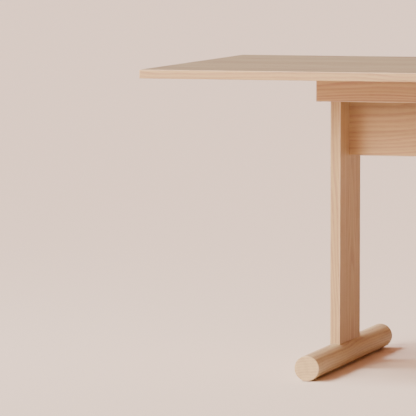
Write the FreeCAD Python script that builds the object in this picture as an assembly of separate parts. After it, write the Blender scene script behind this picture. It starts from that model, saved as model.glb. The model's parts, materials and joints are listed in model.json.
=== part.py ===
"""Trestle communion table in solid ash: a seven-board top on a shallow beam box, carried by two plank posts
that stand in round log feet and are bolted to the ends of a central web.

Millimetres. +X runs along the table, +Y from front to back, +Z up. The origin is on the floor, under the
middle of the tabletop. The left-hand end is at -X. Each end is the other one turned half a turn about Z.
"""
import FreeCAD, Part
import math
import os

Vector = FreeCAD.Vector
UP = Vector(0, 0, 1)
ALONG = Vector(1, 0, 0)
ACROSS = Vector(0, 1, 0)

# ---- tabletop ----
table_height = 735.0
top_length = 2000.0
top_depth = 900.0
top_thickness = 21.0
top_board_count = 7
top_arris = 2.0

# ---- beam box under the top ----
beam_inset = 339.0          # from the tabletop's end to the beam box's end
beam_width = 200.0          # also the width of the posts, which finish flush with it
rail_height = 67.0
rail_thickness = 25.0
rib_offset = 220.0          # from mid-length to the middle of each rib
rib_thickness = 25.0

# ---- web between the posts ----
web_height = 200.0
web_thickness = 25.0
web_top_gap = 1.5           # keeps the tabletop bearing on the beam box only
web_housing_depth = 6.0     # how far each end of the web is let into its post

# ---- posts and feet ----
post_inset = 375.0          # from the tabletop's end to the post's outer face
post_thickness = 25.0
foot_diameter = 60.0
foot_length = 740.0
foot_arris = 2.0
mortise_floor = 24.0        # wood left between the mortise and the lowest line of the foot
wood_arris = 1.0            # easing on the exposed edges of rails, web and posts

# ---- glides ----
glide_diameter = 22.0
glide_thickness = 5.0
glide_stand = 1.0           # how far a glide stands below the foot
glide_inset = 45.0          # from the foot's end to the middle of the glide
glide_arris = 0.5

# ---- steel channels that keep the top flat ----
channel_length = 780.0
channel_width = 30.0
channel_height = 9.0
channel_wall = 2.0
channel_inset = 180.0       # from the tabletop's end to the middle of each outer channel
channel_screw_count = 5
channel_screw_margin = 60.0
channel_screw_length = 11.0

# ---- slotted angle brackets between beam box and top ----
bracket_leg = 30.0
bracket_length = 40.0
bracket_wall = 2.0
bracket_offsets = (120.0, 430.0)    # from mid-length to the middle of each bracket
bracket_hole_reach = 17.0           # from the bracket's corner to its holes
bracket_hole_spacing = 24.0
bracket_screw_length = 16.0

# ---- wood screws, bolts, nuts and dowels ----
screw_diameter = 4.5
screw_head_diameter = 9.0
screw_head_height = 2.6
screw_head_crown = 1.0              # rounding on the rim of the head
screw_recess_width = 1.0
screw_recess_length = 5.0
screw_recess_depth = 1.4
screw_hole_clearance = 0.5          # on the diameter, in steel
slot_travel = 9.0                   # lengthwise play that a slot leaves its screw

bolt_diameter = 8.0
bolt_hole_clearance = 0.5           # on the diameter, in wood
bolt_head_diameter = 14.0
bolt_head_height = 4.0
bolt_head_clearance = 1.0           # on the diameter
bolt_socket_width = 5.0
bolt_socket_depth = 2.5
hexagon_sides = 6
bolt_tip = 5.0                      # how far a post bolt runs past the middle of its barrel nut

barrel_nut_diameter = 12.0
barrel_nut_length = 18.0
barrel_nut_setback = 32.0           # from the post's inner face
barrel_slot_width = 1.6
barrel_slot_depth = 1.5
post_bolt_margin = 38.0             # from the web's lower edge to the lower bolt
post_bolt_spacing = 64.0

foot_bolt_spacing = 130.0
foot_bolt_recess = 10.0             # from the foot's lowest line to the bolt head's seat
insert_nut_diameter = 13.0
insert_nut_length = 22.0

dowel_diameter = 8.0
dowel_length = 35.0
dowel_rail_depth = 15.0             # how far a dowel goes into a rail
dowel_arris = 0.8
dowel_edge_margin = 17.0            # from a rail's edge to the nearest dowel
web_dowel_length = 65.0

# ---- places that follow from the sizes above ----
half_length = top_length / 2
half_depth = top_depth / 2
half_beam = beam_width / 2
top_underside = table_height - top_thickness
rail_underside = top_underside - rail_height
beam_end = half_length - beam_inset
rail_inner_face = half_beam - rail_thickness
post_outer_face = half_length - post_inset
post_inner_face = post_outer_face - post_thickness
web_end = post_inner_face + web_housing_depth
web_top = top_underside - web_top_gap
web_underside = web_top - web_height
half_web = web_thickness / 2
foot_middle_x = post_outer_face - post_thickness / 2
foot_axis_height = glide_stand + foot_diameter / 2
post_underside = glide_stand + mortise_floor
glide_y = foot_length / 2 - glide_inset
channel_x = half_length - channel_inset
barrel_nut_x = post_inner_face - barrel_nut_setback
post_bolt_heights = (web_underside + post_bolt_margin, web_underside + post_bolt_margin + post_bolt_spacing)
foot_bolt_ys = (-foot_bolt_spacing / 2, foot_bolt_spacing / 2)
insert_nut_top = post_underside + insert_nut_length


# ---- plain shapes ----

def block(low, high):
    """A box between two corners."""
    return Part.makeBox(high[0] - low[0], high[1] - low[1], high[2] - low[2], Vector(*low))


def rod(diameter, start, end):
    """A round bar between two points."""
    along = Vector(*end) - Vector(*start)
    return Part.makeCylinder(diameter / 2, along.Length, Vector(*start), along)


def eased(shape, radius, direction=None, where=None):
    """The shape with its edges rounded: all of them, or those along a direction or that pass a test."""
    chosen = []
    for edge in shape.Edges:
        tangent = edge.tangentAt(edge.FirstParameter)
        parallel = direction is None or math.isclose(abs(tangent.dot(direction)), 1)
        if parallel and (where is None or where(edge.CenterOfMass)):
            chosen.append(edge)
    return shape.makeFillet(radius, chosen)


def chamfer_strip(corner, inward_a, inward_b, run, size):
    """A triangular strip that takes the sharpness off an edge that starts at `corner` and follows `run`."""
    start = Vector(*corner)
    outline = [start, start + inward_a * size, start + inward_b * size, start]
    return Part.Face(Part.makePolygon(outline)).extrude(run)


def slotted_hole(diameter, travel, direction, start, end):
    """An oval hole from start to end, `travel` longer than it is wide along `direction`."""
    shift = direction * (travel / 2)
    through = Vector(*end) - Vector(*start)
    first = Vector(*start) - shift
    second = Vector(*start) + shift
    sideways = through.cross(direction).normalize() * (diameter / 2)
    outline = [first - sideways, second - sideways, second + sideways, first + sideways, first - sideways]
    middle = Part.Face(Part.makePolygon(outline)).extrude(through)
    ends = [rod(diameter, point, point + through) for point in (first, second)]
    return middle.fuse(ends).removeSplitter()


def turned(shape):
    """The shape turned half a turn about Z: the same piece at the other end or side."""
    copy = shape.copy()
    copy.rotate(Vector(0, 0, 0), UP, 180)
    return copy


def both_ends(shapes):
    return shapes + [turned(shape) for shape in shapes]


def placed(shape, point, direction):
    """A shape drawn along +Z from the origin, put at a point and turned to a direction."""
    copy = shape.copy()
    copy.Placement = FreeCAD.Placement(Vector(*point), FreeCAD.Rotation(UP, direction))
    return copy


# ---- fasteners, each drawn with its head's seat at the origin and its shank along +Z ----

def wood_screw(length):
    shank = rod(screw_diameter, (0, 0, 0), (0, 0, length))
    head = rod(screw_head_diameter, (0, 0, -screw_head_height), (0, 0, 0))
    head = eased(head, screw_head_crown, where=lambda middle: middle.z < -screw_head_height / 2)
    body = head.fuse(shank)
    floor = -screw_head_height + screw_recess_depth
    long_reach = screw_recess_length / 2
    short_reach = screw_recess_width / 2
    for reach_x, reach_y in ((long_reach, short_reach), (short_reach, long_reach)):
        low = (-reach_x, -reach_y, -screw_head_height)
        body = body.cut(block(low, (reach_x, reach_y, floor)))
    return body


def socket_bolt(length):
    shank = rod(bolt_diameter, (0, 0, 0), (0, 0, length))
    head = rod(bolt_head_diameter, (0, 0, -bolt_head_height), (0, 0, 0))
    turn = math.tau / hexagon_sides
    corner_radius = bolt_socket_width / 2 / math.cos(turn / 2)
    corners = []
    for step in range(hexagon_sides + 1):
        x = corner_radius * math.cos(turn * step)
        y = corner_radius * math.sin(turn * step)
        corners.append(Vector(x, y, -bolt_head_height))
    socket = Part.Face(Part.makePolygon(corners)).extrude(UP * bolt_socket_depth)
    return head.fuse(shank).cut(socket)


def dowel(length, start):
    """A fluted dowel is simplified to a plain one with eased ends, lying along +Y."""
    pin = rod(dowel_diameter, start, Vector(*start) + ACROSS * length)
    return pin.makeChamfer(dowel_arris, [edge for edge in pin.Edges if isinstance(edge.Curve, Part.Circle)])


def plain_hole(diameter, point, direction, depth):
    return rod(diameter, point, Vector(*point) + direction * depth)


# ---- where the fasteners go ----

def channel_middles():
    return [-channel_x, 0.0, channel_x]


def channel_screw_ys():
    reach = channel_length / 2 - channel_screw_margin
    step = 2 * reach / (channel_screw_count - 1)
    return [-reach + index * step for index in range(channel_screw_count)]


def channel_seat_height():
    """The underside of the channel's web, which its screw heads bear on."""
    return top_underside + channel_height - channel_wall


def bracket_middles():
    return [side * offset for side in (-1, 1) for offset in bracket_offsets]


def dowel_heights():
    return [rail_underside + dowel_edge_margin, top_underside - dowel_edge_margin]


# ---- tabletop ----

def top_blank():
    """The whole top as one slab with eased edges and the three grooves for its channels."""
    low = (-half_length, -half_depth, top_underside)
    slab = eased(block(low, (half_length, half_depth, table_height)), top_arris)
    half_width = channel_width / 2
    half_run = channel_length / 2
    for x in channel_middles():
        low = (x - half_width, -half_run, top_underside)
        slab = slab.cut(block(low, (x + half_width, half_run, top_underside + channel_height)))
    return slab


def top_boards(screws):
    """The slab sawn into equal boards, each drilled for the screws that go into it."""
    slab = top_blank().cut(screws)
    width = top_depth / top_board_count
    boards = {}
    for index in range(top_board_count):
        front = -half_depth + index * width
        low = (-half_length, front, top_underside)
        board = slab.common(block(low, (half_length, front + width, table_height)))
        boards[f"top_board_{index + 1}"] = board
    return boards


def steel_channel(x):
    """A U of folded steel with its open side down, slotted across the boards so that the top can move."""
    half_width = channel_width / 2
    half_run = channel_length / 2
    low = (x - half_width, -half_run, top_underside)
    outer = block(low, (x + half_width, half_run, top_underside + channel_height))
    low = (x - half_width + channel_wall, -half_run, top_underside)
    bar = outer.cut(block(low, (x + half_width - channel_wall, half_run, channel_seat_height())))
    hole = screw_diameter + screw_hole_clearance
    for y in channel_screw_ys():
        start = (x, y, channel_seat_height())
        end = (x, y, top_underside + channel_height)
        if abs(y) < hole:  # the middle screw holds the channel in place, so its hole is round
            bar = bar.cut(rod(hole, start, end))
        else:
            bar = bar.cut(slotted_hole(hole, slot_travel, ACROSS, start, end))
    return bar


def channel_screws():
    screw = wood_screw(channel_screw_length)
    seats = [(x, y, channel_seat_height()) for x in channel_middles() for y in channel_screw_ys()]
    return [placed(screw, seat, UP) for seat in seats]


# ---- beam box ----

def front_rail(screws):
    """The front rail. Its lower front edge is eased where it is free, and left square over the posts."""
    low = (-beam_end, -half_beam, rail_underside)
    rail = block(low, (beam_end, -rail_inner_face, top_underside))
    rail = eased(rail, wood_arris, UP, lambda middle: middle.y < -half_beam + wood_arris)
    stretches = (
        (-beam_end, -post_outer_face),
        (-post_inner_face, post_inner_face),
        (post_outer_face, beam_end),
    )
    for start, end in stretches:
        corner = (start, -half_beam, rail_underside)
        rail = rail.cut(chamfer_strip(corner, ACROSS, UP, ALONG * (end - start), wood_arris))
    return rail.cut(screws).cut(rail_dowels())


def left_end_rail():
    """The end rail fits between the front and back rails and finishes flush with their ends."""
    low = (-beam_end, -rail_inner_face, rail_underside)
    rail = block(low, (-beam_end + rail_thickness, rail_inner_face, top_underside))
    run = ACROSS * (2 * rail_inner_face)
    rail = rail.cut(chamfer_strip(low, ALONG, UP, run, wood_arris))
    return rail.cut(rail_dowels())


def front_left_rib():
    """A short cross rib between the front rail and the web."""
    half_rib = rib_thickness / 2
    low = (-rib_offset - half_rib, -rail_inner_face, rail_underside)
    rib = block(low, (-rib_offset + half_rib, -half_web, top_underside))
    return rib.cut(rail_dowels()).cut(web_dowels())


def rail_dowels():
    """Two dowels in each corner of the beam box, and two where each rib meets its rail."""
    start_y = -rail_inner_face - dowel_rail_depth
    corner_x = -beam_end + rail_thickness / 2
    front = [dowel(dowel_length, (x, start_y, z))
             for x in (corner_x, -rib_offset, rib_offset, -corner_x) for z in dowel_heights()]
    return both_ends(front)


def web_dowels():
    """One dowel through the web joins the two ribs that meet it."""
    height = (rail_underside + top_underside) / 2
    return [dowel(web_dowel_length, (x, -web_dowel_length / 2, height)) for x in (-rib_offset, rib_offset)]


# ---- web, posts and feet ----

def web_blank():
    """The deep board on edge, long enough for its ends to be let into the posts."""
    low = (-web_end, -half_web, web_underside)
    board = block(low, (web_end, half_web, web_top))
    return eased(board, wood_arris, ALONG, lambda middle: middle.z < web_underside + wood_arris)


def web():
    """The web, drilled for its bolts from both ends and for its barrel nuts from the back."""
    board = web_blank()
    for side in (-1, 1):
        for height in post_bolt_heights:
            bolt_start = (side * web_end, 0, height)
            bolt_run = web_end - barrel_nut_x + bolt_tip
            hole = bolt_diameter + bolt_hole_clearance
            board = board.cut(plain_hole(hole, bolt_start, ALONG * -side, bolt_run))
            nut_start = (side * barrel_nut_x, -barrel_nut_length / 2, height)
            nut_run = barrel_nut_length / 2 + half_web
            board = board.cut(plain_hole(barrel_nut_diameter, nut_start, ACROSS, nut_run))
    return board.cut(web_dowels())


def left_post():
    """A plank on end. Its notched head stands between the rails, which rest on its two shoulders."""
    low = (-post_outer_face, -half_beam, post_underside)
    leg = block(low, (-post_inner_face, half_beam, rail_underside))
    leg = eased(leg, wood_arris, UP)
    low = (-post_outer_face, -rail_inner_face, rail_underside)
    head = block(low, (-post_inner_face, rail_inner_face, web_top))
    post = leg.fuse(head).removeSplitter()
    post = post.cut(web_blank())
    for height in post_bolt_heights:
        start = (-post_outer_face, 0, height)
        head_hole = bolt_head_diameter + bolt_head_clearance
        post = post.cut(plain_hole(head_hole, start, ALONG, bolt_head_height))
        shank_hole = bolt_diameter + bolt_hole_clearance
        post = post.cut(plain_hole(shank_hole, start, ALONG, post_thickness))
    for y in foot_bolt_ys:
        start = (-foot_middle_x, y, post_underside)
        post = post.cut(plain_hole(insert_nut_diameter, start, UP, insert_nut_length))
    return post


def post_bolts():
    seat_x = -post_outer_face + bolt_head_height
    length = -barrel_nut_x + bolt_tip - seat_x
    bolt = socket_bolt(length)
    return both_ends([placed(bolt, (seat_x, 0, height), ALONG) for height in post_bolt_heights])


def barrel_nuts():
    """Round cross nuts, each with a screwdriver slot in the end that faces the back of the table."""
    nuts = []
    for side in (-1, 1):
        for height in post_bolt_heights:
            x = side * barrel_nut_x
            back = barrel_nut_length / 2
            nut = rod(barrel_nut_diameter, (x, -back, height), (x, back, height))
            reach = barrel_nut_diameter / 2
            nut = nut.cut(rod(bolt_diameter, (x - reach, 0, height), (x + reach, 0, height)))
            slot_low = (x - reach, back - barrel_slot_depth, height - barrel_slot_width / 2)
            slot_high = (x + reach, back, height + barrel_slot_width / 2)
            nuts.append(nut.cut(block(slot_low, slot_high)))
    return nuts


def left_foot():
    """A round log with its ends eased, mortised for the post and bored for its bolts and glides."""
    start = (-foot_middle_x, -foot_length / 2, foot_axis_height)
    log = rod(foot_diameter, start, Vector(*start) + ACROSS * foot_length)
    log = eased(log, foot_arris, where=lambda middle: abs(abs(middle.y) - foot_length / 2) < foot_arris)
    low = (-post_outer_face, -half_beam, post_underside)
    high = (-post_inner_face, half_beam, foot_axis_height + foot_diameter)
    log = log.cut(eased(block(low, high), wood_arris, UP))
    for y in foot_bolt_ys:
        start = (-foot_middle_x, y, glide_stand)
        head_hole = bolt_head_diameter + bolt_head_clearance
        log = log.cut(plain_hole(head_hole, start, UP, foot_bolt_recess))
        shank_hole = bolt_diameter + bolt_hole_clearance
        log = log.cut(plain_hole(shank_hole, start, UP, mortise_floor))
    for y in (-glide_y, glide_y):
        start = (-foot_middle_x, y, glide_stand)
        log = log.cut(plain_hole(glide_diameter, start, UP, glide_thickness - glide_stand))
    return log


def foot_bolts():
    seat = glide_stand + foot_bolt_recess
    bolt = socket_bolt(insert_nut_top - seat)
    return both_ends([placed(bolt, (-foot_middle_x, y, seat), UP) for y in foot_bolt_ys])


def insert_nuts():
    """Threaded sleeves let into the lower end of each post."""
    sleeves = []
    for y in foot_bolt_ys:
        start = (-foot_middle_x, y, post_underside)
        sleeve = plain_hole(insert_nut_diameter, start, UP, insert_nut_length)
        sleeves.append(sleeve.cut(plain_hole(bolt_diameter, start, UP, insert_nut_length)))
    return both_ends(sleeves)


def glide(x, y):
    disc = plain_hole(glide_diameter, (x, y, 0), UP, glide_thickness)
    return eased(disc, glide_arris, where=lambda middle: middle.z < glide_arris)


# ---- brackets ----

def front_bracket(x):
    """A folded angle: two round holes against the rail, one slot across the boards under the top."""
    low_x = x - bracket_length / 2
    high_x = x + bracket_length / 2
    corner = -rail_inner_face
    low = (low_x, corner, top_underside - bracket_leg)
    upright = block(low, (high_x, corner + bracket_wall, top_underside))
    low = (low_x, corner, top_underside - bracket_wall)
    level = block(low, (high_x, corner + bracket_leg, top_underside))
    angle = upright.fuse(level).removeSplitter()
    hole = screw_diameter + screw_hole_clearance
    for hole_x in (x - bracket_hole_spacing / 2, x + bracket_hole_spacing / 2):
        start = (hole_x, corner, top_underside - bracket_hole_reach)
        angle = angle.cut(plain_hole(hole, start, ACROSS, bracket_wall))
    start = (x, corner + bracket_hole_reach, top_underside - bracket_wall)
    end = (x, corner + bracket_hole_reach, top_underside)
    return angle.cut(slotted_hole(hole, slot_travel, ACROSS, start, end))


def brackets():
    front = [front_bracket(x) for x in bracket_middles()]
    return both_ends(front)


def bracket_screws():
    """One screw up into the top and two into the rail for each bracket."""
    screw = wood_screw(bracket_screw_length)
    front = []
    for x in bracket_middles():
        seat = (x, -rail_inner_face + bracket_hole_reach, top_underside - bracket_wall)
        front.append(placed(screw, seat, UP))
        for hole_x in (x - bracket_hole_spacing / 2, x + bracket_hole_spacing / 2):
            seat = (hole_x, -rail_inner_face + bracket_wall, top_underside - bracket_hole_reach)
            front.append(placed(screw, seat, ACROSS * -1))
    return both_ends(front)


# ---- the whole table ----

def all_nodes():
    """Every sub-part by name; a group of like fasteners is one compound of separate solids."""
    top_screws = channel_screws()
    frame_screws = bracket_screws()
    nodes = top_boards(top_screws + frame_screws)
    for name, x in zip(("left", "middle", "right"), channel_middles()):
        nodes[f"top_channel_{name}"] = steel_channel(x)
    nodes["channel_screws"] = Part.makeCompound(top_screws)
    rail = front_rail(frame_screws)
    nodes["rail_front"] = rail
    nodes["rail_back"] = turned(rail)
    end_rail = left_end_rail()
    nodes["end_rail_left"] = end_rail
    nodes["end_rail_right"] = turned(end_rail)
    rib = front_left_rib()
    shift = Vector(2 * rib_offset, 0, 0)
    nodes["rib_front_left"] = rib
    nodes["rib_front_right"] = rib.translated(shift)
    nodes["rib_back_right"] = turned(rib)
    nodes["rib_back_left"] = turned(rib.translated(shift))
    nodes["rail_dowels"] = Part.makeCompound(rail_dowels())
    nodes["web_dowels"] = Part.makeCompound(web_dowels())
    nodes["web"] = web()
    post = left_post()
    nodes["post_left"] = post
    nodes["post_right"] = turned(post)
    foot = left_foot()
    nodes["foot_left"] = foot
    nodes["foot_right"] = turned(foot)
    for side, x in (("left", -foot_middle_x), ("right", foot_middle_x)):
        for end, y in (("front", -glide_y), ("back", glide_y)):
            nodes[f"glide_{end}_{side}"] = glide(x, y)
    for index, bracket in enumerate(brackets()):
        nodes[f"top_bracket_{index + 1}"] = bracket
    nodes["bracket_screws"] = Part.makeCompound(frame_screws)
    nodes["post_bolts"] = Part.makeCompound(post_bolts())
    nodes["barrel_nuts"] = Part.makeCompound(barrel_nuts())
    nodes["foot_bolts"] = Part.makeCompound(foot_bolts())
    nodes["insert_nuts"] = Part.makeCompound(insert_nuts())
    return nodes


def write_parts():
    os.makedirs("parts", exist_ok=True)
    for name, shape in all_nodes().items():
        shape.exportStep(f"parts/{name}.step")


write_parts()
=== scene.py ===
"""The communion table's looks: ash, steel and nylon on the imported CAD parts, a pale floor and soft light."""

import json
import math
import random

import bpy
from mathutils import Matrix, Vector


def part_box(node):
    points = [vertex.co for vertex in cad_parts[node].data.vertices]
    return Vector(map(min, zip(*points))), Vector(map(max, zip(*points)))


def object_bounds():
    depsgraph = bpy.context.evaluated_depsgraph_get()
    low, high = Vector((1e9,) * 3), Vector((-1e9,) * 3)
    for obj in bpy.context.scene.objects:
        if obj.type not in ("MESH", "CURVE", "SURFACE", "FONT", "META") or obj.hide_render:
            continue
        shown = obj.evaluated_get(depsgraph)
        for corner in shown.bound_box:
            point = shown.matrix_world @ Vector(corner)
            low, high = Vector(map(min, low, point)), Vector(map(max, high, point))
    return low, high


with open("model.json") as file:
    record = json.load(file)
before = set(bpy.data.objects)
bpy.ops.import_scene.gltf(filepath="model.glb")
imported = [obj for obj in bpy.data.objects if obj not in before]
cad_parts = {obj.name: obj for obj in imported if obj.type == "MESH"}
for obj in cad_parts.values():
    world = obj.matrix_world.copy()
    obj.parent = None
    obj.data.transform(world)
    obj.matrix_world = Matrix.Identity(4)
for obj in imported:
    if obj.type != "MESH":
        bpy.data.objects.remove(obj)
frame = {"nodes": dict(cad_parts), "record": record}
cad_low, cad_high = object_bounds()

# Lengths are in metres and colours are linear red, green, blue.
# An azimuth is 0 straight in front of the table and positive to the right; an elevation is up from the floor.

# ---- camera ----
CAMERA_AZIMUTH = math.radians(16.16)
CAMERA_ELEVATION = math.radians(4.53)
CAMERA_DISTANCE = 9.80
CAMERA_LENS_MM = 344.2
SENSOR_MM = 36.0
AIM_FROM_LEFT_END = 0.0385               # the point it looks at, in from the tabletop's left end
AIM_HEIGHT = 0.375

# ---- lights ----
# name, azimuth, elevation and width in degrees, strength, colour
SOFT_LIGHTS = (
    ("key", -72, 54, 22, 3.6, (1.00, 0.92, 0.84)),
    ("front", -24, 20, 26, 5.4, (1.00, 0.88, 0.70)),
)
SOFTBOX_AZIMUTH = math.radians(-75)      # a round softbox up on the left
SOFTBOX_ELEVATION = math.radians(45)
SOFTBOX_DISTANCE = 3.0
SOFTBOX_DIAMETER = 1.4
SOFTBOX_WATTS = 25.0
SOFTBOX_COLOR = (0.95, 0.97, 1.00)

# ---- room and floor ----
ROOM_COLOR = (0.69, 0.265, 0.175, 1.0)
DIM_ROOM_COLOR = (0.12, 0.03, 0.018, 1.0)    # on the right-hand side
DIM_ROOM_SPREAD = (0.1, 0.7)             # sines of the angles to the right where it starts and is dimmest
GLOW_COLOR = (1.50, 1.02, 0.80, 1.0)     # a pale glow low down behind the left end
GLOW_DIRECTION = (-0.5, 0.866, 0.0)
GLOW_SPREAD = (0.75, 0.97)               # cosines of the angles where the glow starts and is full
BACKDROP_COLOR = (1.70, 1.23, 1.00, 1.0)
FLOOR_COLOR = (0.88, 0.80, 0.74, 1.0)
FLOOR_ROUGHNESS = 0.75
FLOOR_HALF_SIZE = 200.0

# ---- ash: colour ----
PALE_WOOD = (0.535, 0.392, 0.212, 1.0)
DARK_WOOD = (0.415, 0.262, 0.172, 1.0)
PORE_COLOR = (0.26, 0.15, 0.08, 1.0)
PORE_DEPTH = 0.5                         # how much of the pore colour shows
# paler worn edges: partly real handling, partly a painted highlight on the arrises
WORN_AND_HIGHLIGHT_COLOR = (0.68, 0.56, 0.42, 1.0)
END_TINT = (0.90, 0.84, 0.80, 1.0)       # end grain
TOP_PAINTED_SHADE_TINT = (0.64, 0.79, 0.93, 1.0)       # painted shade and painted reflection: the tabletop's upper face is made darker and greyer than the rest
STREAK_SHADE = (0.90, 1.10)
CLOUD_SHADE = (-0.04, 0.04)
RING_STRENGTH = (0.40, 1.0)              # the faintest and the strongest ring
WEAR_AND_HIGHLIGHT_AMOUNT = (0.35, 0.95)

# ---- ash: texture, as noise waves per metre along the grain and across it, noise detail and roughness ----
SLOW_WAVES = (2.2, 9.0, 2.0, 0.5)
QUICK_WAVES = (9.0, 60.0, 2.0, 0.5)
STREAKS = (1.4, 75.0, 3.0, 0.6)
CLOUDS = (1.3, 6.0, 1.0, 0.5)
PORES = (55.0, 1500.0, 1.0, 0.5)
WEAR_AND_HIGHLIGHT_PATCHES = (12.0, 40.0, 2.0, 0.5)
SLOW_WAVE_SIZE = 0.030                   # how far the waves bend the rings
QUICK_WAVE_SIZE = 0.0030
# how dark the wood is across one year's ring: the earlywood is dark and the latewood pale
RING_PROFILE = ((0.0, 0.10), (0.14, 1.0), (0.45, 0.70), (0.72, 0.08), (1.0, 0.10))
PORE_PROFILE = ((0.0, 0.0), (0.60, 0.0), (0.70, 1.0))
PORE_RINGS = (0.0, 0.6)                  # the earlywood values over which pores go from sparse to full
PORE_AMOUNT = (0.15, 1.0)

# ---- ash: surface ----
WOOD_SPECULAR = 0.25
WOOD_ROUGHNESS = 0.52
EARLYWOOD_ROUGHER = 0.10
QUICK_WAVE_ROUGHER = (-0.03, 0.03)
PORE_ROUGHER = 0.15
WEAR_ROUGHER = -0.08
END_ROUGHER = 0.12
EARLYWOOD_HEIGHT = -0.35                 # shares of the bump's depth
PORE_HEIGHT = -0.65
WOOD_BUMP_STRENGTH = 0.5
WOOD_BUMP_DEPTH = 0.0002
EDGE_WIDTH = 0.003                       # how far the worn paleness and painted highlight reach in from an edge
BELOW_TOP = 0.02                         # lowers the box so the tabletop's under edge gets no worn paleness or painted highlight
END_FACING = 0.75                        # a face this square to the grain shows end grain
# how upright a tabletop face must be to get the painted shade and painted reflection
UP_FACING = 0.98

# ---- ash: how each kind of piece was sawn. The pith is off the piece's middle, across the grain ----
RANDOM_SEED = 7
TOP_PITH = ((-0.03, 0.03), (0.05, 0.11))     # ranges to draw from
TOP_DRIFT = ((-0.01, 0.01), (0.008, 0.02))
TOP_TONE = (-0.025, 0.025)
TOP_RING_GAP = 0.0050
TOP_FIGURE = 1.3
RAIL_PITH = (0.035, 0.030)
RAIL_DRIFT = (0.0, 0.010, 0.006)
RAIL_RING_GAP = 0.0050
RAIL_FIGURE = 1.2
# painted shade: the rails under the top are made darker and pinker
RAIL_PAINTED_SHADE_TINT = (0.98, 0.93, 0.93)
WEB_PITH = (0.06, 0.07)
WEB_DRIFT = (0.0, 0.0, 0.05)
WEB_RING_GAP = 0.0080
WEB_FIGURE = 0.8
# painted shade: the web under the top is made darker and pinker
WEB_PAINTED_SHADE_TINT = (0.97, 0.89, 0.87)
POST_PITH = ((0.02, 0.04), (0.08, 0.11))
POST_DRIFT_Y = 0.01
POST_DRIFT_Z = (0.01, 0.02)
POST_RING_GAP = 0.0050
POST_FIGURE = 1.2
FOOT_PITH_Y = (-0.02, 0.02)
FOOT_PITH_Z = -0.16
FOOT_DRIFT = (0.0, 0.004, 0.004)
FOOT_RING_GAP = 0.0062
FOOT_FIGURE = 0.8
FOOT_TONE = 0.02
# painted light: the feet are made lighter and bluer, standing in for neutral light on their tops
FOOT_PAINTED_LIGHT_TINT = (1.12, 1.28, 1.42)
CROSS_PITH = ((0.05, 0.08), (-0.02, 0.02))
CROSS_DRIFT_Y = 0.01
CROSS_DRIFT_Z = (0.01, 0.03)
CROSS_RING_GAP = 0.0046
CROSS_PIECES = (
    "end_rail_left", "end_rail_right",
    "rib_front_left", "rib_front_right", "rib_back_left", "rib_back_right",
)
NO_TINT = (1.0, 1.0, 1.0)
GRAIN_SHIFT_ALONG = 30.0                 # each piece is cut from its own place in the texture
GRAIN_SHIFT_ACROSS = 1.0
GRAIN_TURNS = {"X": (0.0, 0.0, 0.0), "Y": (0.0, 0.0, -math.pi / 2), "Z": (0.0, math.pi / 2, 0.0)}

# ---- hardware: each slot's finish, with its dark and light colour,
# ---- roughness, metallic, speckles per metre and bump depth ----
HARDWARE = {
    "black_steel":
        ("powder_coat", (0.018, 0.018, 0.02, 1), (0.035, 0.035, 0.038, 1), 0.55, 0.0, 1800, 0.00015),
    "zinc_steel":
        ("zinc", (0.42, 0.43, 0.45, 1), (0.62, 0.62, 0.60, 1), 0.36, 1.0, 700, 0.00004),
    "glide_nylon":
        ("nylon", (0.52, 0.46, 0.38, 1), (0.62, 0.56, 0.48, 1), 0.5, 0.0, 900, 0.00005),
    "dowel_beech":
        ("beech", (0.46, 0.28, 0.15, 1), (0.56, 0.37, 0.22, 1), 0.6, 0.0, 600, 0.0001),
}
COARSE_SPECKLE = 1 / 12                  # the broad mottling's waves, as a share of the fine one's
SPECKLE_ROUGHER = 0.06
SPECKLE_BUMP_STRENGTH = 0.4

# the part of a noise that is stretched to run from one value to another
NOISE_MIDDLE = 0.5
NOISE_WIDE = (0.3, 0.7)
NOISE_NARROW = (0.35, 0.65)

TOP_BOARDS = sorted(name for name in frame["nodes"] if name.startswith("top_board_"))


# ---- node helpers ----

def put(tree, socket, value):
    """Links a socket into an input, or sets the input to a plain value."""
    if isinstance(value, bpy.types.NodeSocket):
        tree.links.new(value, socket)
    else:
        socket.default_value = value


def add_node(tree, kind, inputs=None, **settings):
    """Adds a node, applies its settings, and links or fills its inputs by name or number."""
    node = tree.nodes.new(kind)
    for name, value in settings.items():
        setattr(node, name, value)
    for key, value in (inputs or {}).items():
        put(tree, node.inputs[key], value)
    return node


def calc(tree, operation, *values):
    """One Math node; returns its result."""
    return add_node(tree, "ShaderNodeMath", dict(enumerate(values)), operation=operation).outputs[0]


def vector_calc(tree, operation, *values):
    """One Vector Math node; returns its vector."""
    return add_node(tree, "ShaderNodeVectorMath", dict(enumerate(values)), operation=operation).outputs[0]


def scale_vector(tree, vector, amount):
    """A vector or colour times one number."""
    node = add_node(tree, "ShaderNodeVectorMath", {0: vector, "Scale": amount}, operation="SCALE")
    return node.outputs[0]


def axis_of(tree, vector, axis):
    """The X, Y or Z of a vector."""
    return add_node(tree, "ShaderNodeSeparateXYZ", {0: vector}).outputs[axis]


def blend_colors(tree, amount, first, second, mode="MIX"):
    """Two colours blended; a Mix node's colour inputs are numbers 6 and 7."""
    inputs = {0: amount, 6: first, 7: second}
    return add_node(tree, "ShaderNodeMix", inputs, data_type="RGBA", blend_type=mode).outputs[2]


def noise(tree, vector, scale, detail, roughness=0.5):
    """A noise from 0 to 1."""
    inputs = {"Vector": vector, "Scale": scale, "Detail": detail, "Roughness": roughness}
    return add_node(tree, "ShaderNodeTexNoise", inputs).outputs["Fac"]


def grain_noise(tree, grain, waves):
    """A noise drawn out along the grain."""
    along, across, detail, roughness = waves
    stretched = vector_calc(tree, "MULTIPLY", grain, (along, across, across))
    return noise(tree, stretched, 1.0, detail, roughness)


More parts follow.
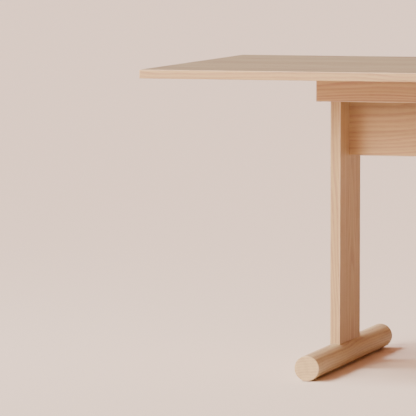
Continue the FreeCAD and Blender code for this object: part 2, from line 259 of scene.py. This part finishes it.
def ramp(tree, value, stops):
    """A grey colour ramp through (position, brightness) stops."""
    node = add_node(tree, "ShaderNodeValToRGB", {"Fac": value})
    elements = node.color_ramp.elements
    while len(elements) < len(stops):
        elements.new(1.0)
    for element, (position, grey) in zip(elements, stops):
        element.position = position
        element.color = (grey, grey, grey, 1.0)
    return node.outputs["Color"]


def remap(tree, value, old, new):
    """A value stretched from one (low, high) range to another, and held there."""
    inputs = {"Value": value, "From Min": old[0], "From Max": old[1], "To Min": new[0], "To Max": new[1]}
    return add_node(tree, "ShaderNodeMapRange", inputs).outputs["Result"]


# ---- ash ----

def make_ash_group():
    """A solid ash texture. Its coordinate runs along X with the grain, and its rings are round a far pith."""
    group = bpy.data.node_groups.new("ash", "ShaderNodeTree")
    for kind, names in (("Vector", ("Grain", "Pith", "Drift", "Tint")),
                        ("Float", ("Spacing", "Figure", "Tone", "Edge", "End", "Up"))):
        for name in names:
            group.interface.new_socket(name, in_out="INPUT", socket_type=f"NodeSocket{kind}")
    for name, kind in (("Color", "Color"), ("Roughness", "Float"), ("Height", "Float")):
        group.interface.new_socket(name, in_out="OUTPUT", socket_type=f"NodeSocket{kind}")
    given = group.nodes.new("NodeGroupInput").outputs
    quick = grain_noise(group, given["Grain"], QUICK_WAVES)
    early = earlywood(group, given, quick)
    pores = pore_mask(group, given, early)
    # worn edges: real handling and a painted highlight on the arrises
    wear_and_highlight = wear_and_highlight_mask(group, given)
    outputs = {
        "Color": wood_color(group, given, early, pores, wear_and_highlight),
        "Roughness": wood_roughness(group, given, quick, early, pores, wear_and_highlight),
        "Height": wood_height(group, early, pores),
    }
    add_node(group, "NodeGroupOutput", outputs)
    return group


def earlywood(group, given, quick):
    """The rings: 1 in strong earlywood, by the distance from a pith that drifts along the piece."""
    from_pith = vector_calc(group, "SUBTRACT", given["Grain"], given["Pith"])
    drift = scale_vector(group, given["Drift"], axis_of(group, from_pith, "X"))
    from_pith = vector_calc(group, "SUBTRACT", from_pith, drift)
    across = vector_calc(group, "MULTIPLY", from_pith, (0.0, 1.0, 1.0))
    distance = add_node(group, "ShaderNodeVectorMath", {0: across}, operation="LENGTH").outputs["Value"]
    slow = grain_noise(group, given["Grain"], SLOW_WAVES)
    slow_wave = calc(group, "MULTIPLY", calc(group, "SUBTRACT", slow, NOISE_MIDDLE), SLOW_WAVE_SIZE)
    quick_wave = calc(group, "MULTIPLY", calc(group, "SUBTRACT", quick, NOISE_MIDDLE), QUICK_WAVE_SIZE)
    waves = calc(group, "ADD", slow_wave, quick_wave)
    rings = calc(group, "DIVIDE", calc(group, "ADD", distance, waves), given["Spacing"])
    early = ramp(group, calc(group, "FRACT", rings), RING_PROFILE)
    ring_number = calc(group, "FLOOR", rings)
    chance = add_node(group, "ShaderNodeTexWhiteNoise", {"W": ring_number}, noise_dimensions="1D")
    strength = remap(group, chance.outputs["Value"], (0.0, 1.0), RING_STRENGTH)
    return calc(group, "MULTIPLY", early, strength)


def pore_mask(group, given, early):
    """Short dashes along the grain, mostly in the earlywood."""
    dashes = ramp(group, grain_noise(group, given["Grain"], PORES), PORE_PROFILE)
    return calc(group, "MULTIPLY", dashes, remap(group, early, PORE_RINGS, PORE_AMOUNT))


def wear_and_highlight_mask(group, given):
    """Handled edges, in patches: worn paleness and a painted highlight on the arrises."""
    patches = grain_noise(group, given["Grain"], WEAR_AND_HIGHLIGHT_PATCHES)
    return calc(group, "MULTIPLY", given["Edge"], remap(group, patches, NOISE_NARROW, WEAR_AND_HIGHLIGHT_AMOUNT))


def wood_color(group, given, early, pores, wear_and_highlight):
    """Pale and dark wood by the rings, in long streaks and soft clouds, then the piece's tint (painted shade
    on the rails and web, painted light on the feet), pores, worn edges with a painted highlight, the end-grain
    tint, and painted shade and painted reflection on the tabletop's upper face.
    """
    color = blend_colors(group, calc(group, "MULTIPLY", early, given["Figure"]), PALE_WOOD, DARK_WOOD)
    streaks = remap(group, grain_noise(group, given["Grain"], STREAKS), NOISE_WIDE, STREAK_SHADE)
    clouds = remap(group, grain_noise(group, given["Grain"], CLOUDS), NOISE_WIDE, CLOUD_SHADE)
    shade = calc(group, "ADD", calc(group, "ADD", streaks, clouds), given["Tone"])
    color = vector_calc(group, "MULTIPLY", scale_vector(group, color, shade), given["Tint"])
    color = blend_colors(group, calc(group, "MULTIPLY", pores, PORE_DEPTH), color, PORE_COLOR)
    # paler edges: real handling and a painted highlight
    color = blend_colors(group, wear_and_highlight, color, WORN_AND_HIGHLIGHT_COLOR)
    # end grain is darker; the tabletop's upper face gets painted shade and painted reflection
    for place, tint in (("End", END_TINT), ("Up", TOP_PAINTED_SHADE_TINT)):
        tinted = blend_colors(group, 1.0, color, tint, "MULTIPLY")
        color = blend_colors(group, given[place], color, tinted)
    return color


def wood_roughness(group, given, quick, early, pores, wear_and_highlight):
    """Earlywood, pores and end grain are rougher, and worn edges are smoother."""
    roughness = calc(group, "MULTIPLY_ADD", early, EARLYWOOD_ROUGHER, WOOD_ROUGHNESS)
    roughness = calc(group, "ADD", roughness, remap(group, quick, NOISE_WIDE, QUICK_WAVE_ROUGHER))
    roughness = calc(group, "MULTIPLY_ADD", pores, PORE_ROUGHER, roughness)
    roughness = calc(group, "MULTIPLY_ADD", wear_and_highlight, WEAR_ROUGHER, roughness)
    return calc(group, "MULTIPLY_ADD", given["End"], END_ROUGHER, roughness)


def wood_height(group, early, pores):
    """The earlywood and the pores lie below the latewood."""
    return calc(group, "MULTIPLY_ADD", early, EARLYWOOD_HEIGHT, calc(group, "MULTIPLY", pores, PORE_HEIGHT))


def edge_mask(tree, point, half_size):
    """1 on a box's edges, fading to 0 at EDGE_WIDTH from them: the middle one of the three depths."""
    away = vector_calc(tree, "SUBTRACT", half_size, vector_calc(tree, "ABSOLUTE", point))
    depths = add_node(tree, "ShaderNodeSeparateXYZ", {0: away}).outputs
    lesser = calc(tree, "MINIMUM", depths["X"], depths["Y"])
    greater = calc(tree, "MAXIMUM", depths["X"], depths["Y"])
    middle = calc(tree, "MAXIMUM", lesser, calc(tree, "MINIMUM", greater, depths["Z"]))
    return remap(tree, middle, (0.0, EDGE_WIDTH), (1.0, 0.0))


def wear_and_highlight_box(name):
    """The box whose edges get worn paleness and a painted highlight: the piece's own, or the whole tabletop's
    for one of its boards.
    """
    if name not in TOP_BOARDS:
        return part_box(name)
    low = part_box(TOP_BOARDS[0])[0] - Vector((0.0, 0.0, BELOW_TOP))
    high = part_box(TOP_BOARDS[-1])[1]
    return low, high


def ash(name, grain_axis, dice, pith, drift, ring_gap, figure=1.0, tone=0.0, tint=NO_TINT):
    """One piece's ash: its grain runs along the axis, and its own pith, drift and tone set its figure."""
    material, shader = new_material(f"ash_{name}")
    tree = material.node_tree
    low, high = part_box(name)
    place = add_node(tree, "ShaderNodeTexCoord").outputs["Object"]
    centred = vector_calc(tree, "SUBTRACT", place, (low + high) / 2)
    turn = {"Vector": centred, "Rotation": GRAIN_TURNS[grain_axis]}
    turned = add_node(tree, "ShaderNodeMapping", turn).outputs[0]
    shift = tuple(dice.uniform(-reach, reach)
                  for reach in (GRAIN_SHIFT_ALONG, GRAIN_SHIFT_ACROSS, GRAIN_SHIFT_ACROSS))
    normal = add_node(tree, "ShaderNodeNewGeometry").outputs["Normal"]
    end = calc(tree, "ABSOLUTE", axis_of(tree, normal, grain_axis))
    # the tabletop's upper face, which gets painted shade and painted reflection
    up = calc(tree, "GREATER_THAN", axis_of(tree, normal, "Z"), UP_FACING) if name in TOP_BOARDS else 0.0
    wear_and_highlight_low, wear_and_highlight_high = wear_and_highlight_box(name)
    from_middle = vector_calc(tree, "SUBTRACT", place, (wear_and_highlight_low + wear_and_highlight_high) / 2)
    inputs = {
        "Grain": vector_calc(tree, "ADD", turned, shift),
        "Pith": (shift[0], shift[1] + pith[0], shift[2] + pith[1]),
        "Drift": drift,
        "Spacing": ring_gap,
        "Figure": figure,
        "Tone": tone,
        "Tint": tint,
        "Edge": edge_mask(tree, from_middle, (wear_and_highlight_high - wear_and_highlight_low) / 2),
        "End": calc(tree, "GREATER_THAN", end, END_FACING),
        "Up": up,
    }
    wood = add_node(tree, "ShaderNodeGroup", node_tree=ASH)
    for key, value in inputs.items():
        put(tree, wood.inputs[key], value)
    tree.links.new(wood.outputs["Color"], shader.inputs["Base Color"])
    tree.links.new(wood.outputs["Roughness"], shader.inputs["Roughness"])
    add_bump(tree, shader, wood.outputs["Height"], WOOD_BUMP_STRENGTH, WOOD_BUMP_DEPTH)
    shader.inputs["Specular IOR Level"].default_value = WOOD_SPECULAR
    return material


def new_material(name):
    """An empty material and its shader."""
    material = bpy.data.materials.new(name)
    material.use_nodes = True
    return material, material.node_tree.nodes["Principled BSDF"]


def add_bump(tree, shader, height, strength, depth):
    """Relief on a shader, from a height."""
    bump = add_node(tree, "ShaderNodeBump", {"Height": height, "Strength": strength, "Distance": depth})
    tree.links.new(bump.outputs["Normal"], shader.inputs["Normal"])


def dress(name, material):
    """Gives a CAD node one material all over."""
    materials = frame["nodes"][name].data.materials
    materials.clear()
    materials.append(material)


def draw(dice, ranges):
    """One number from each (low, high) range."""
    return tuple(dice.uniform(*limits) for limits in ranges)


def dress_top(dice):
    """Each board of the top has its heart side up or down, and a slightly different tone."""
    for name in TOP_BOARDS:
        side = dice.choice((-1, 1))
        pith_y, pith_z = draw(dice, TOP_PITH)
        drift = (0.0, *draw(dice, TOP_DRIFT))
        tone = dice.uniform(*TOP_TONE)
        dress(name, ash(name, "X", dice, (pith_y, side * pith_z), drift, TOP_RING_GAP, TOP_FIGURE, tone))


def dress_beam(dice):
    """The two long rails and the web."""
    for name, side in (("rail_front", 1), ("rail_back", -1)):
        pith = (side * RAIL_PITH[0], RAIL_PITH[1])
        # the rails and the web take a painted shade tint, darker and pinker
        dress(name, ash(name, "X", dice, pith, RAIL_DRIFT, RAIL_RING_GAP, RAIL_FIGURE, tint=RAIL_PAINTED_SHADE_TINT))
    dress("web", ash("web", "X", dice, WEB_PITH, WEB_DRIFT, WEB_RING_GAP, WEB_FIGURE, tint=WEB_PAINTED_SHADE_TINT))


def dress_posts(dice):
    """The two posts, whose grain stands upright."""
    for name in ("post_left", "post_right"):
        pith = draw(dice, POST_PITH)
        drift = (0.0, POST_DRIFT_Y, dice.uniform(*POST_DRIFT_Z))
        dress(name, ash(name, "Z", dice, pith, drift, POST_RING_GAP, POST_FIGURE))


def dress_feet(dice):
    """The two round feet, sawn well away from the pith."""
    for name in ("foot_left", "foot_right"):
        pith = (dice.uniform(*FOOT_PITH_Y), FOOT_PITH_Z)
        # the feet's tint is painted light, lighter and bluer
        material = ash(name, "Y", dice, pith, FOOT_DRIFT, FOOT_RING_GAP, FOOT_FIGURE, FOOT_TONE, FOOT_PAINTED_LIGHT_TINT)
        dress(name, material)


def dress_cross_pieces(dice):
    """The end rails and the ribs, which run front to back under the top."""
    for name in CROSS_PIECES:
        pith = draw(dice, CROSS_PITH)
        drift = (0.0, CROSS_DRIFT_Y, dice.uniform(*CROSS_DRIFT_Z))
        dress(name, ash(name, "Y", dice, pith, drift, CROSS_RING_GAP))


def dress_wood():
    """Every piece of wood but the dowels. The order sets what each one draws."""
    dice = random.Random(RANDOM_SEED)
    dress_top(dice)
    dress_beam(dice)
    dress_posts(dice)
    dress_feet(dice)
    dress_cross_pieces(dice)


# ---- steel, dowels and nylon ----

def speckled(name, dark, light, roughness, metallic, scale, bump_depth):
    """A surface with fine mottling in its colour, its roughness and its relief."""
    material, shader = new_material(name)
    tree = material.node_tree
    shader.inputs["Metallic"].default_value = metallic
    place = add_node(tree, "ShaderNodeTexCoord").outputs["Object"]
    fine = noise(tree, place, scale, 3.0)
    coarse = noise(tree, place, scale * COARSE_SPECKLE, 2.0)
    mottle = calc(tree, "MULTIPLY", calc(tree, "ADD", fine, coarse), 0.5)
    mottle = remap(tree, mottle, NOISE_NARROW, (0.0, 1.0))
    tree.links.new(blend_colors(tree, mottle, dark, light), shader.inputs["Base Color"])
    rougher = (roughness - SPECKLE_ROUGHER, roughness + SPECKLE_ROUGHER)
    tree.links.new(remap(tree, mottle, (0.0, 1.0), rougher), shader.inputs["Roughness"])
    add_bump(tree, shader, fine, SPECKLE_BUMP_STRENGTH, bump_depth)
    return material


def dress_hardware():
    """Each slot that isn't ash has one material, which all its pieces share."""
    by_slot = {slot: speckled(*finish) for slot, finish in HARDWARE.items()}
    for part in frame["record"]["subparts"]:
        if part["material_slot"] in by_slot:
            dress(part["node"], by_slot[part["material_slot"]])


# ---- floor, light and camera ----

def make_floor():
    """A plain pale floor that reaches past every view."""
    size = FLOOR_HALF_SIZE
    corners = [(-size, -size, 0), (size, -size, 0), (size, size, 0), (-size, size, 0)]
    mesh = bpy.data.meshes.new("floor")
    mesh.from_pydata(corners, [], [(0, 1, 2, 3)])
    floor = bpy.data.objects.new("floor", mesh)
    bpy.context.scene.collection.objects.link(floor)
    material, shader = new_material("floor")
    shader.inputs["Base Color"].default_value = FLOOR_COLOR
    shader.inputs["Roughness"].default_value = FLOOR_ROUGHNESS
    mesh.materials.append(material)


def direction(azimuth, elevation):
    """The unit vector from the table to something seen at these angles."""
    level = math.cos(elevation)
    return Vector((math.sin(azimuth) * level, -math.cos(azimuth) * level, math.sin(elevation)))


def left_end_point(inward, height):
    """A point on the table's long middle line, this far in from its left end and above the floor."""
    return Vector((cad_low[0] + inward, (cad_low[1] + cad_high[1]) / 2, cad_low[2] + height))


def add_light(name, kind, away, color):
    """A lamp that shines from the direction away, towards the table."""
    lamp = bpy.data.lights.new(name, kind)
    lamp.color = color
    light = bpy.data.objects.new(name, lamp)
    bpy.context.scene.collection.objects.link(light)
    aim(light, -away)
    return light


def aim(thing, towards):
    """Turns a lamp or camera to face a direction."""
    thing.rotation_euler = towards.to_track_quat("-Z", "Y").to_euler()


def make_lights():
    """Wide, far lights with soft shadows."""
    for name, azimuth, elevation, width, strength, color in SOFT_LIGHTS:
        away = direction(math.radians(azimuth), math.radians(elevation))
        light = add_light(name, "SUN", away, color)
        light.data.energy = strength
        light.data.angle = math.radians(width)


def make_softbox():
    """A round lamp up on the left, near enough for its light to fade across the floor."""
    away = direction(SOFTBOX_AZIMUTH, SOFTBOX_ELEVATION)
    softbox = add_light("softbox", "AREA", away, SOFTBOX_COLOR)
    softbox.data.shape = "DISK"
    softbox.data.size = SOFTBOX_DIAMETER
    softbox.data.energy = SOFTBOX_WATTS
    softbox.location = left_end_point(0.0, 0.0) + away * SOFTBOX_DISTANCE
    softbox.visible_camera = False


def make_room():
    """A dim warm room that lights the table, and a plain pale backdrop where it shows past the floor."""
    world = bpy.data.worlds.new("room")
    world.use_nodes = True
    tree = world.node_tree
    looking = add_node(tree, "ShaderNodeTexCoord").outputs["Generated"]
    facing = add_node(tree, "ShaderNodeVectorMath", {0: looking, 1: GLOW_DIRECTION}, operation="DOT_PRODUCT")
    glow = remap(tree, facing.outputs["Value"], GLOW_SPREAD, (0.0, 1.0))
    dimming = remap(tree, axis_of(tree, looking, "X"), DIM_ROOM_SPREAD, (0.0, 1.0))
    room = blend_colors(tree, dimming, ROOM_COLOR, DIM_ROOM_COLOR)
    light = blend_colors(tree, glow, room, GLOW_COLOR)
    seen = add_node(tree, "ShaderNodeLightPath").outputs["Is Camera Ray"]
    color = blend_colors(tree, seen, light, BACKDROP_COLOR)
    tree.links.new(color, tree.nodes["Background"].inputs["Color"])
    bpy.context.scene.world = world


def make_camera():
    """A long lens that looks at the table's left end."""
    lens = bpy.data.cameras.new("camera")
    lens.lens = CAMERA_LENS_MM
    lens.sensor_width = SENSOR_MM
    camera = bpy.data.objects.new("camera", lens)
    bpy.context.scene.collection.objects.link(camera)
    away = direction(CAMERA_AZIMUTH, CAMERA_ELEVATION)
    camera.location = left_end_point(AIM_FROM_LEFT_END, AIM_HEIGHT) + away * CAMERA_DISTANCE
    aim(camera, -away)
    bpy.context.scene.camera = camera


ASH = make_ash_group()
dress_wood()
dress_hardware()
make_floor()
make_lights()
make_softbox()
make_room()
make_camera()
bpy.context.scene.view_settings.view_transform = "AgX"
